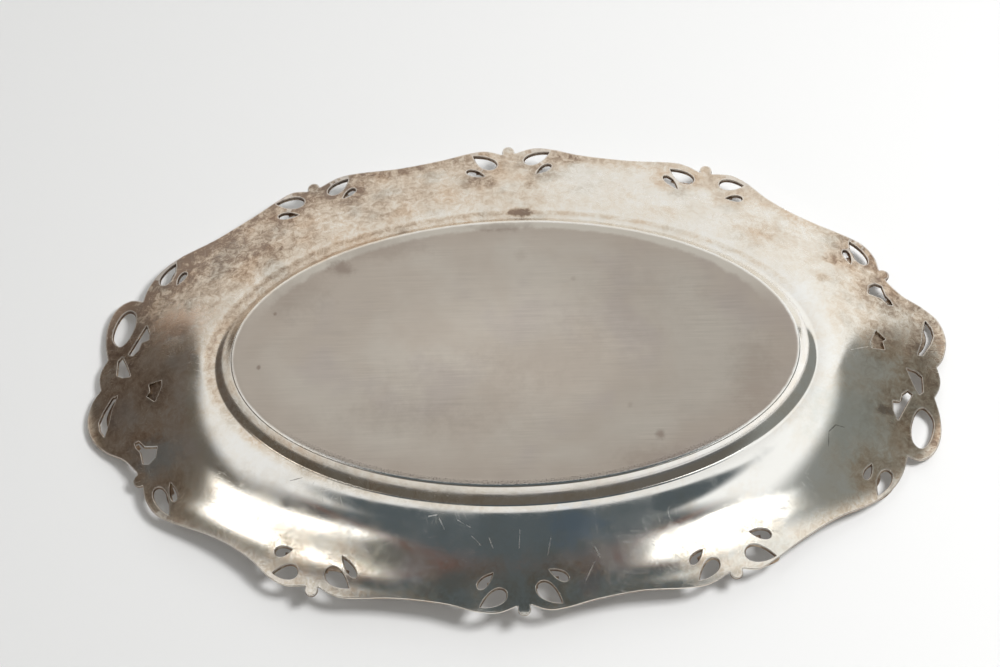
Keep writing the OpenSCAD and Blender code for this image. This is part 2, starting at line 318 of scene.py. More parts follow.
def plate():
    """The pierced plate. Its base, wall and the inner flange are grids of turn by distance out. The pierced
    flange is the same surface over points spread evenly between its edge lines, joined up as triangles,
    and each edge line carries a rounded edge from one face to the other."""
    part, height, way = wall_section()
    width = np.array(HOLLOW) - np.array(BASE)
    share = np.linspace(0, INNER, 9)[1:]

    def face(up):
        """Points and normals of one face, from the centre to the pierced flange."""
        p = (np.array(BASE) + width * part[:, None, None]) * cos_sin
        out = cos_sin / (np.array(BASE) + width * part[:, None, None])
        out /= np.linalg.norm(out, axis=-1, keepdims=True)
        spread = (out * cos_sin * width / SECTION_W).sum(-1)
        n2 = np.stack([np.broadcast_to(way[:, 1, None], spread.shape), -way[:, 0, None] * spread], -1)
        n2 /= np.linalg.norm(n2, axis=-1, keepdims=True)
        wall_n = np.concatenate([out * n2[..., :1], n2[..., 1:]], -1)
        wall = np.concatenate([p, np.broadcast_to(height[:, None, None], p.shape[:2] + (1,))], -1)
        if up:
            wall = wall - PLATE_T * wall_n
        z = wall[:, 0, 2]
        inner = np.array([0.0, 0.3, 0.6, 0.8, 0.9, 0.96])[1:, None, None] * wall[0][None]
        inner[..., 2] = z[0]
        flat_n = np.broadcast_to([0.0, 0.0, -1.0], inner.shape)
        s = share[:, None, None]
        q = (np.array(HOLLOW) + (np.array(RIM) - np.array(HOLLOW)) * s) * cos_sin
        fz = flange_z(q[..., 0], q[..., 1])
        flange = np.concatenate([q, fz[..., None] + (PLATE_T if up else 0)], -1)
        fn = -flange_normal(q[..., 0], q[..., 1])
        v = np.concatenate([inner, wall, flange]).reshape(-1, 3)
        n = np.concatenate([flat_n, wall_n, fn]).reshape(-1, 3)
        centre = np.array([[0, 0, z[0]]])
        return np.concatenate([centre, v]), np.concatenate([[[0, 0, -1.0]], n]) * (-1 if up else 1)

    v_low, n_low = face(False)
    v_top, n_top = face(True)
    rows = (len(v_low) - 1) // TURNS
    verts, normals, faces = [v_low, v_top], [n_low, n_top], []
    top0 = len(v_low)
    j = np.arange(TURNS)
    k = (j + 1) % TURNS
    faces += np.stack([np.zeros(TURNS, int), 1 + k, 1 + j], -1).tolist()
    faces += np.stack([np.full(TURNS, top0), top0 + 1 + j, top0 + 1 + k], -1).tolist()
    faces += grid_faces(rows, TURNS, 1)
    faces += grid_faces(rows, TURNS, top0 + 1, flip=True)

    # Edge lines, moved into the metal by the edge's rounding; the rim runs clockwise, so its left is outside
    half = half_outline(BUD_R - 0.1)
    loops = [np.concatenate([half, -half])] + holes()
    lines, outs = [], []
    for i, p in enumerate(loops):
        if (area(p) > 0) == (i == 0):
            p = p[::-1]
        p = p[np.linalg.norm(p - np.roll(p, 1, 0), axis=1) > 0.02]
        o = sideways(p)
        lines.append(p - o * EDGE_R)
        outs.append(o)
    ring0 = v_low[-TURNS:, :2]
    gx, gy = np.meshgrid(np.arange(-184, 185, GRID_STEP), np.arange(-112, 113, GRID_STEP * 0.866))
    gx[1::2] += GRID_STEP / 2
    grid = np.stack([gx.ravel(), gy.ravel()], -1)
    grid = grid[reach(grid[:, 0], grid[:, 1]) > INNER + 0.025]
    grid = grid[inside(grid, lines[0])]
    for p in lines[1:]:
        lo, hi = p.min(0) - 1, p.max(0) + 1
        near = np.all((grid > lo) & (grid < hi), 1)
        bad = np.zeros(len(grid), bool)
        bad[near] = inside(grid[near], p)
        grid = grid[~bad]
    grid = grid[distance(grid, lines) > 0.75]
    pts = np.concatenate([ring0] + lines + [grid])
    edges, at = [], 0
    for p in [ring0] + lines:
        m = np.arange(len(p))
        edges.append(np.stack([at + m, at + (m + 1) % len(p)], -1))
        at += len(p)
    edges = np.concatenate(edges)
    out = delaunay_2d_cdt([Vector(p) for p in pts.tolist()], edges.tolist(), [], 0, 1e-5)
    # back from the triangulation's points to ours
    first = np.array([o[0] if len(o) else -1 for o in out[3]])
    if len(first) != len(pts) or np.any(first < 0):
        raise RuntimeError("edge lines cross: %d points in, %d out" % (len(pts), len(first)))
    tri = first[np.array(out[2])]
    mid = pts[tri].mean(1)
    keep = (reach(mid[:, 0], mid[:, 1]) > INNER - 0.002) & inside(mid, lines[0])
    for p in lines[1:]:
        lo, hi = p.min(0), p.max(0)
        near = np.all((mid > lo) & (mid < hi), 1) & keep
        sub = np.where(near)[0]
        keep[sub[inside(mid[sub], p)]] = False
    tri = tri[keep]
    a = pts[tri]
    turned = np.cross(a[:, 1] - a[:, 0], a[:, 2] - a[:, 0]) < 0
    tri[turned] = tri[turned][:, ::-1]

    # zone points other than the first ring, low then top
    zone = pts[TURNS:]
    zz = flange_z(zone[:, 0], zone[:, 1])
    zn = flange_normal(zone[:, 0], zone[:, 1])
    base0 = len(v_low) + len(v_top)
    low_index = np.concatenate([np.arange(top0 - TURNS, top0), base0 + np.arange(len(zone))])
    top_index = np.concatenate([np.arange(2 * top0 - TURNS, 2 * top0),
                                base0 + len(zone) + np.arange(len(zone))])
    verts += [np.column_stack([zone, zz]), np.column_stack([zone, zz + PLATE_T])]
    normals += [-zn, zn]
    faces += low_index[tri][:, ::-1].tolist() + top_index[tri].tolist()

    # rounded edges
    turn = np.radians([30, 60, 90, 90, 120, 150])
    out_by = np.array([0.5, 0.87, 1, 1, 0.87, 0.5]) * EDGE_R
    tall = PLATE_T / EDGE_R
    up_by = np.array([0.13, 0.5, 1, tall - 1, tall - 0.5, tall - 0.13]) * EDGE_R
    at, nxt = TURNS, base0 + 2 * len(zone)
    for p, o in zip(lines, outs):
        m = len(p)
        q = p[None] + o[None] * out_by[:, None, None]
        z = flange_z(q[..., 0], q[..., 1]) + up_by[:, None]
        s = flange_normal(q[..., 0], q[..., 1])
        level = np.concatenate([o, np.zeros((m, 1))], 1)[None]
        n = level * np.sin(turn)[:, None, None] - s * np.cos(turn)[:, None, None]
        verts.append(np.concatenate([q, z[..., None]], -1).reshape(-1, 3))
        normals.append((n / np.linalg.norm(n, axis=-1, keepdims=True)).reshape(-1, 3))
        ids = np.concatenate([low_index[at:at + m][None], nxt + np.arange(6 * m).reshape(6, m),
                              top_index[at:at + m][None]])
        e = np.roll(ids, -1, 1)
        faces += np.stack([ids[:-1], ids[1:], e[1:], e[:-1]], -1).reshape(-1, 4).tolist()
        at += m
        nxt += 6 * m
    v = np.concatenate(verts)
    n = np.concatenate(normals)
    edge = np.minimum(distance(v[:, :2], lines), 30)
    edge[:2 * top0] = np.where(reach(v[:2 * top0, 0], v[:2 * top0, 1]) > 0.05, edge[:2 * top0], 30)
    under = (n[:, 2] < 0).astype(float)
    rho = np.hypot(v[:, 0] / BASE[0], v[:, 1] / BASE[1])
    share = np.clip(reach(v[:, 0], v[:, 1]), 0, 1.3)
    return add_mesh("tray_plate", v, faces, n, {"edge": edge, "under": under, "rho": rho, "share": share})


# ---------------------------------------------------------------- mounts on the face

def ridge(path, w, h, closed=True, n=9):
    """Half-round ridge carried along a path on the flange's face: across it, a point lies w/2 cos a to the
    side and h sin a up. w and h are numbers or one value a point; an open path has flat ends."""
    p = np.asarray(path, float)
    m = len(p)
    side = sideways(p, closed)
    w = np.broadcast_to(w, m)[:, None]
    h = np.broadcast_to(h, m)[:, None]
    a = np.linspace(0, np.pi, n)[None]
    off = np.cos(a) * w / 2
    q = p[:, None] + side[:, None] * off[..., None]
    z = flange_z(q[..., 0], q[..., 1]) + PLATE_T + LIFT
    top = np.concatenate([q, (z + np.sin(a) * h)[..., None]], -1)
    low = np.concatenate([q[:, ::-1], z[:, ::-1, None]], -1)[:, 1:-1:3]
    rows = np.concatenate([top, low], 1)
    cols = rows.shape[1]
    faces = grid_faces(m, cols, flip=True)
    if closed:
        last = (m - 1) * cols + np.arange(cols)
        first = np.arange(cols)
        faces += np.stack([last, np.roll(last, -1), np.roll(first, -1), first], -1)[:, ::-1].tolist()
    else:
        faces += [list(range(cols)), list(range((m - 1) * cols, m * cols))[::-1]]
    return rows.reshape(-1, 3), faces


def dome(centre, r, h, n=28, rows=9, dimple=0.0):
    """Round bud: radius r sin t and height h cos t over the face, closed below."""
    t = np.linspace(0, np.pi / 2, rows)[1:, None]
    a = np.linspace(0, 2 * np.pi, n, endpoint=False)[None]
    rr = r * np.sin(t) + 0 * a
    x, y = centre[0] + rr * np.cos(a), centre[1] + rr * np.sin(a)
    z0 = flange_z(np.array([centre[0]]), np.array([centre[1]]))[0] + PLATE_T + LIFT
    lobes = 1 + dimple * np.cos(5 * a) * np.sin(2 * t)
    z = z0 + h * np.cos(t) * lobes
    v = np.concatenate([[[centre[0], centre[1], z0 + h]], np.stack([x, y, z], -1).reshape(-1, 3)])
    j = np.arange(n)
    k = (j + 1) % n
    faces = np.stack([np.zeros(n, int), 1 + j, 1 + k], -1).tolist() + grid_faces(rows - 1, n, 1, flip=True)
    faces.append([1 + (rows - 2) * n + i for i in range(n)][::-1])
    return v, faces


def leaf(path, w, h, n=9, vein=0.35):
    """Long leaf along a path: w wide in the middle, rising to two soft halves beside a sunk vein."""
    p = whole(path, 10)
    t = np.linspace(0, 1, len(p))
    width = w * np.sin(np.pi * np.clip(t * 0.94 + 0.03, 0, 1)) ** 0.7
    side = sideways(p, False)
    u = np.linspace(-1, 1, n)[None]
    q = p[:, None] + side[:, None] * (u * width[:, None] / 2)[..., None]
    z0 = flange_z(q[..., 0], q[..., 1]) + PLATE_T + LIFT
    shape = np.sqrt(np.clip(1 - u ** 2, 0, 1)) * (1 - vein * np.exp(-(u / 0.22) ** 2))
    z = z0 + h * shape * (width / max(width.max(), 1e-6))[:, None] ** 0.5
    top = np.concatenate([q, z[..., None]], -1)
    low = np.concatenate([q[:, ::-1], z0[:, ::-1, None]], -1)[:, 1:-1:2]
    rows = np.concatenate([top, low], 1)
    m, cols = rows.shape[:2]
    caps = [list(range(cols))[::-1], list(range((m - 1) * cols, m * cols))]
    return rows.reshape(-1, 3), grid_faces(m, cols) + caps


def join(name, parts, half_turn=False):
    """One mesh from several closed shapes; half_turn turns it about the upright axis."""
    v, f, at = [], [], 0
    for verts, faces in parts:
        v.append(verts)
        f += [[i + at for i in face] for face in faces]
        at += len(verts)
    v = np.concatenate(v)
    if half_turn:
        v = v * np.array([-1, -1, 1])
    return add_mesh(name, v, f, marks={"relief": v[:, 2] - flange_z(v[:, 0], v[:, 1]) - PLATE_T})


def framed(p, w, h, lap=0.3):
    """Ridge round a hole whose inner edge laps over the hole by lap."""
    if area(p) > 0:
        p = p[::-1]
    return ridge(p + sideways(p) * (w / 2 - lap), w, h)


def rim_piece(run, start, end, inset, n=12):
    """Part of one sweep of the rim between two x values, moved in by inset."""
    p = whole(RIM_RUNS[run], n)
    q = p - sideways(p, False) * inset
    lo, hi = sorted((start, end))
    return q[(p[:, 0] >= lo) & (p[:, 0] <= hi)]


def taper(m, ends, share=0.12):
    """One value a point that falls from 1 to ends near both ends of a path."""
    t = np.linspace(0, 1, m)
    return ends + (1 - ends) * ease(np.minimum(t, 1 - t) / share)


def bud_mount(name, i, half_turn):
    """Frames round the drops beside a bud, the bud, its stem, and a tendril from its root to each drop."""
    b = np.array(BUDS[i])
    n = b / np.array(RIM) ** 2
    n /= np.linalg.norm(n)
    root = b - 9 * n
    parts = [dome(b, BUD_R, 2.4, dimple=0.06), dome(b - n * 4.4, 1.7, 1.9), dome(root, 1.9, 1.7)]
    stem = curve([b, b - 3 * n, b - 6 * n, root], 8)
    parts.append(ridge(stem, np.linspace(3.4, 2.6, len(stem)), 1.5, closed=False))
    for d in DROPS[i]:
        parts.append(framed(drop(*d), 2.0, MOUNT_T))
        c = np.array(d[0])
        back = (root - c) / np.linalg.norm(root - c)
        tendril = curve([root, (root + c) / 2 - n, c + back * d[1]], 8)
        parts.append(ridge(tendril, 1.9, 1.3, closed=False))
    return join(name, parts, half_turn)


def leaf_mount(name, half_turn):
    """Frames round the pair of drops beside a loop, with a leaf between them."""
    big_one, small_one = DROPS[4]
    parts = [framed(drop(*big_one), 2.0, MOUNT_T), framed(drop(*small_one), 1.9, MOUNT_T)]
    parts.append(leaf([(146.2, 47.5), (147.6, 51), (146.6, 55.6)], 3.0, 1.4))
    return join(name, parts, half_turn)


def end_mount(name, half_turn):
    """The looped end: a raised border along its edge, frames round its holes, stems and leaves."""
    parts = [framed(h, 2.2, MOUNT_T) for h in END_HOLES]
    for run in RIM_RUNS[:3]:
        p = whole(run, 12)
        q = p - sideways(p, False) * 1.25
        q = q[(q[:, 1] > -41) & (q[:, 1] < 38.8)]
        parts.append(ridge(q, 2.4 * taper(len(q), 0.6), MOUNT_T, closed=False))
    stems = [[(-163, 32.5), (-158, 29)], [(-152, 30), (-148.8, 20), (-151.5, 10)],
             [(-151.5, 4), (-154.5, -7), (-160, -15)], [(-149, 20), (-158, 15), (-166, 16), (-172, 13)]]
    parts += [ridge(whole(s, 12), 2.2, 1.5, closed=False) for s in stems]
    leaves = [([(-150, 19), (-156, 22), (-162, 26)], 4.2), ([(-152, 0), (-158, 2), (-164, 6)], 4.0),
              ([(-154, -6), (-150, -11), (-148.5, -17)], 3.6), ([(-163, 16), (-168, 21), (-170, 26)], 3.4),
              ([(-166, 14), (-168.5, 8), (-168, 2)], 3.2), ([(-151.5, 13), (-151.8, 7), (-151.4, 1)], 8.5),
              ([(-171.5, 19), (-171.8, 13), (-169.5, 6)], 3.6)]
    parts += [leaf(path, w, 1.5) for path, w in leaves]
    return join(name, parts, half_turn)


# Where the strips run: which sweep of the rim, and from one x to another along it
REACHES = [(3, -140.5, -103.5), (4, -64, -19.5), (5, 21.5, 68), (6, 107.5, 143.5)]


def edge_strip(name, run, start, end, half_turn):
    """Reeded strip along a sweep: a broad ridge with a narrow one inside it."""
    p = rim_piece(run, start, end, 1.0)
    q = rim_piece(run, start, end, 2.35)
    return join(name, [ridge(p, 1.9 * taper(len(p), 0.5), STRIP_T, closed=False),
                       ridge(q, 0.9 * taper(len(q), 0.5), STRIP_T * 0.6, closed=False)], half_turn)


# ---------------------------------------------------------------- node helpers

def put(tree, kind, ins=(), out=0, **props):
    """New shader node with its inputs set to values or linked to sockets; returns one of its outputs."""
    n = tree.nodes.new("ShaderNode" + kind)
    for key, value in props.items():
        setattr(n, key, value)
    for key, value in (ins.items() if isinstance(ins, dict) else enumerate(ins)):
        if isinstance(value, bpy.types.NodeSocket):
            tree.links.new(value, n.inputs[key])
        elif value is not None:
            n.inputs[key].default_value = value
    return n.outputs[out]


def calc(tree, op, *ins):
    """Math node."""
    return put(tree, "Math", ins, operation=op)


def vec(tree, op, *ins, out=0):
    """Vector math node; out is 1 for the ops that give one number."""
    return put(tree, "VectorMath", ins, out, operation=op)


def times(tree, a, b):
    """Product a b."""
    return calc(tree, "MULTIPLY", a, b)


def times_plus(tree, a, b, c):
    """Sum a b + c."""
    return calc(tree, "MULTIPLY_ADD", a, b, c)


def minus(tree, a, b):
    """Difference a - b."""
    return calc(tree, "SUBTRACT", a, b)


def ramp(tree, value, lo, hi, a=0.0, b=1.0):
    """Smooth step from a at lo to b at hi; lo may be greater than hi."""
    if lo > hi:
        lo, hi, a, b = hi, lo, b, a
    return put(tree, "MapRange", {"Value": value, "From Min": lo, "From Max": hi, "To Min": a, "To Max": b},
               interpolation_type="SMOOTHSTEP")


def blend(tree, share, a, b, how="MIX"):
    """Mix of two colours."""
    full = [c if isinstance(c, bpy.types.NodeSocket) else (*c, 1.0) for c in (a, b)]
    return put(tree, "Mix", {0: share, 6: full[0], 7: full[1]}, 2, data_type="RGBA", blend_type=how)


def noise(tree, place, scale, detail=3.0, rough=0.55, distortion=0.0, out=0):
    """Noise over millimetre places; scale is one number or one for each axis."""
    if isinstance(scale, tuple):
        place = vec(tree, "MULTIPLY", place, scale)
        scale = 1.0
    return put(tree, "TexNoise", {"Vector": place, "Scale": scale, "Detail": detail, "Roughness": rough,
                                  "Distortion": distortion}, out)


def nodes_of(name):
    """New material with its node tree emptied of all but the output."""
    mat = bpy.data.materials.new(name)
    mat.use_nodes = True
    tree = mat.node_tree
    tree.nodes.clear()
    return mat, tree, tree.nodes.new("ShaderNodeOutputMaterial")


def group(name, inputs, outputs):
    """New node group from pairs of name and kind; returns its tree and input sockets."""
    tree = bpy.data.node_groups.new(name, "ShaderNodeTree")
    for way, pairs in (("INPUT", inputs), ("OUTPUT", outputs)):
        for key, kind in pairs:
            tree.interface.new_socket(key, in_out=way, socket_type="NodeSocket" + kind)
    return tree, tree.nodes.new("NodeGroupInput").outputs


def close(tree, **ends):
    """Links sockets to a group's outputs."""
    out = tree.nodes.new("NodeGroupOutput")
    for key, socket in ends.items():
        tree.links.new(socket, out.inputs[key])
    return tree


def use(tree, which, ins):
    """Node that stands for a group."""
    n = tree.nodes.new("ShaderNodeGroup")
    n.node_tree = which
    for key, value in ins.items():
        if isinstance(value, bpy.types.NodeSocket):
            tree.links.new(value, n.inputs[key])
        else:
            n.inputs[key].default_value = value
    return n.outputs


# ---------------------------------------------------------------- finishes

def tarnish_group():
    """Tarnish that grows from cream through tan to dark brown as Depth rises, in clouds 20 mm across
    broken up by 3 mm mottling and fine specks."""
    t, i = group("tarnish", [("Place", "Vector"), ("Depth", "Float")],
                 [("Colour", "Color"), ("Amount", "Float"), ("Height", "Float")])
    cloud = noise(t, i["Place"], 0.05, 4, 0.65, 0.3)
    mottle = noise(t, i["Place"], 0.28, 9, 0.80, 0.6)
    speck = ramp(t, noise(t, i["Place"], 1.1, 3, 0.6), 0.60, 0.74)
    drift = times_plus(t, minus(t, cloud, 0.5), 0.75, i["Depth"])
    drift = times_plus(t, minus(t, ramp(t, mottle, 0.34, 0.66), 0.5),
                       times_plus(t, i["Depth"], 0.75, 0.03), drift)
    drift = times_plus(t, speck, times(t, i["Depth"], 0.30), drift)
    amount = put(t, "Clamp", (drift, 0.0, 1.0))
    ramp_node = t.nodes.new("ShaderNodeValToRGB")
    t.links.new(amount, ramp_node.inputs[0])
    stops = [(0.0, (0.90, 0.885, 0.85)), (0.25, (0.85, 0.79, 0.70)), (0.5, (0.73, 0.62, 0.50)),
             (0.75, (0.52, 0.405, 0.305)), (1.0, (0.30, 0.215, 0.16))]
    bar = ramp_node.color_ramp
    for at, _ in stops[1:-1]:
        bar.elements.new(at)
    for element, (at, colour) in zip(bar.elements, stops):
        element.position, element.color = at, (*colour, 1)
    hue = noise(t, i["Place"], 0.06, 3, 0.5)
    colour = blend(t, times(t, ramp(t, hue, 0.50, 0.66), ramp(t, amount, 0.1, 0.5, 0.0, 0.5)),
                   ramp_node.outputs[0], (0.78, 0.86, 0.93), "MULTIPLY")
    colour = blend(t, times(t, ramp(t, hue, 0.48, 0.34), ramp(t, amount, 0.1, 0.5, 0.0, 0.5)),
                   colour, (0.95, 0.84, 0.74), "MULTIPLY")
    return close(t, Colour=colour, Amount=amount,
                 Height=times(t, calc(t, "ADD", mottle, times(t, speck, 0.5)), amount))


def scratch_group():
    """Hair scratches: long thin cells in six directions, a dash about some of their centres, in patches."""
    t, i = group("scratches", [("Place", "Vector")], [("Mark", "Float"), ("Height", "Float")])
    total = None
    for turn, along, across, few in ((0.1, 0.05, 0.9, 0.55), (1.0, 0.09, 1.3, 0.72), (1.75, 0.06, 0.8, 0.70),
                                     (2.4, 0.11, 1.5, 0.72), (-0.4, 0.07, 1.0, 0.66), (2.9, 0.20, 2.6, 0.60)):
        v = put(t, "VectorRotate", {"Vector": i["Place"], "Angle": turn}, rotation_type="Z_AXIS")
        wander = noise(t, i["Place"], 0.10, 1, out=1)
        v = vec(t, "ADD", v, vec(t, "MULTIPLY", wander, (3.0, 3.0, 0)))
        v = vec(t, "MULTIPLY", v, (along, across, 0))
        v = vec(t, "ADD", v, (turn * 9, turn * 5, 0))
        cell = t.nodes.new("ShaderNodeTexVoronoi")
        cell.voronoi_dimensions = "2D"
        cell.inputs["Scale"].default_value = 1.0
        t.links.new(v, cell.inputs["Vector"])
        chance = put(t, "SeparateColor", (cell.outputs["Color"],))
        dash = times(t, ramp(t, cell.outputs["Distance"], 0.20, 0.08),
                     ramp(t, chance, few + 0.08, few + 0.2))
        total = dash if total is None else calc(t, "MAXIMUM", total, dash)
    where = ramp(t, noise(t, i["Place"], 0.035, 3, 0.6), 0.42, 0.62, 0.15, 1.0)
    mark = times(t, total, where)
    return close(t, Mark=mark, Height=times(t, mark, -1.0))


TARNISH, SCRATCHES = tarnish_group(), scratch_group()


def places(tree):
    """Object coordinates in millimetres and their three parts."""
    tex = put(tree, "TexCoord", out=3)
    mm = put(tree, "Mapping", {"Vector": tex, "Scale": (1000, 1000, 1000)})
    sep = tree.nodes.new("ShaderNodeSeparateXYZ")
    tree.links.new(mm, sep.inputs[0])
    return mm, sep.outputs


def mark_of(tree, name):
    """A mark that the mesh carries at its points."""
    return put(tree, "Attribute", out=2, attribute_name=name)


def spot(tree, place, x, y, rx, ry, ragged):
    """1 at (x, y), falling to 0 at rx and ry away, with a ragged edge."""
    d = vec(tree, "MULTIPLY", vec(tree, "SUBTRACT", place, (x, y, 0)), (1 / rx, 1 / ry, 0))
    d = vec(tree, "LENGTH", d, out=1)
    return ramp(tree, times_plus(tree, ragged, 1.6, d), 1.05, 0.15)


def cut(tree, place, x0, y0, x1, y1, ragged):
    """1 along the straight line between two points, 0 beyond 0.3 mm from it."""
    run = np.array([x1 - x0, y1 - y0])
    p = vec(tree, "MULTIPLY", vec(tree, "SUBTRACT", place, (x0, y0, 0)), (1, 1, 0))
    along = put(tree, "Clamp", (vec(tree, "DOT_PRODUCT", p, (*(run / (run @ run)), 0), out=1), 0.0, 1.0))
    nearest = put(tree, "VectorMath", {0: (*run, 0), 3: along}, operation="SCALE")
    d = vec(tree, "DISTANCE", p, nearest, out=1)
    return ramp(tree, times_plus(tree, ragged, 1.0, d), 0.24, 0.04)


# Stains on the base, then on the flange: middle, half sizes and strength
SPOTS = [(59, 41, 2.6, 3.0, 0.6), (-73, -41, 7.5, 5.2, 0.55), (47, 27, 1.5, 2.6, 0.25),
         (-5, -59, 18, 3.0, 0.4), (3, -45, 3.6, 4, 0.15), (-92, -28, 20, 14, 0.22),
         (-60, -50, 30, 8, 0.22), (98, 14, 14, 26, 0.2), (60, 51, 26, 7, 0.22), (-106, 5, 1.3, 1.5, 0.7),
         (-100, -20, 1.1, 1.2, 0.7), (25, -33, 1.5, 1.5, 0.2), (-26, 20, 46, 24, 0.14),
         (50, -20, 34, 28, 0.1), (-50, 30, 40, 10, 0.12), (10, 0, 30, 20, 0.08)]
FLANGE_SPOTS = [(116, -10, 22, 36, -0.14), (-122, 8, 14, 32, -0.12), (-144, -24, 19, 14, -0.45),
                (-14, -88, 10, 6, 0.3), (3, -70, 7, 3.0, 1.1), (-118, -60, 38, 20, 0.35),
                (8, -86, 4, 4, 0.5), (24, -102, 9, 6, 0.5), (106, -62, 22, 14, 0.3),
                (28, 93, 18, 6, 0.3), (136, -48, 6, 4, 0.6), (130, -36, 4, 3, 0.5), (152, 24, 5, 3, 0.9)]
# Stains with a colour of their own: middle, half sizes, strength and colour
TINTS = [(-144, -24, 17, 12, 0.85, (0.74, 0.52, 0.37)), (23, 76, 16, 11, 0.45, (0.66, 0.8, 1.0)),
         (-150, 36, 14, 11, 0.7, (0.62, 0.7, 0.72)), (-166, 14, 9, 12, 0.4, (0.66, 0.62, 0.58)),
         (-26, 95, 16, 9, 0.5, (0.74, 0.56, 0.4)), (-54, 85, 14, 9, 0.4, (0.78, 0.76, 0.58)),
         (29, 98, 8, 9, 0.5, (0.78, 0.58, 0.5)), (137, 30, 26, 20, 0.35, (0.62, 0.66, 0.62)),
         (60, 86, 22, 12, 0.3, (0.74, 0.74, 0.64)), (100, 84, 20, 12, 0.35, (0.7, 0.72, 0.68))]
# Single scratches on the flange: start, end, and 1 for a bright or -1 for a dark one
CUTS = [(31, 84.5, 32.5, 87.5, 1), (31, 89.5, 27, 97, 1), (13.5, 80, 12, 87.5, 1),
        (1, 77.5, 0.5, 84.5, 1), (-31.5, 72, -29.5, 76.5, 1), (-36, 71, -32.5, 70.5, 1),
        (-24, 73, -19, 76, 1), (-18.5, 79.5, -15, 83, 1), (127.5, 42.5, 128, 36.5, -1),
        (128, 36.5, 131, 33.5, -1), (131, 33.5, 134.5, 34, -1), (140, -0.5, 147, -3, 1),
        (-11.5, 80.5, -10, 84.5, 1), (-92.5, 53.5, -87.5, 52.5, -1)]


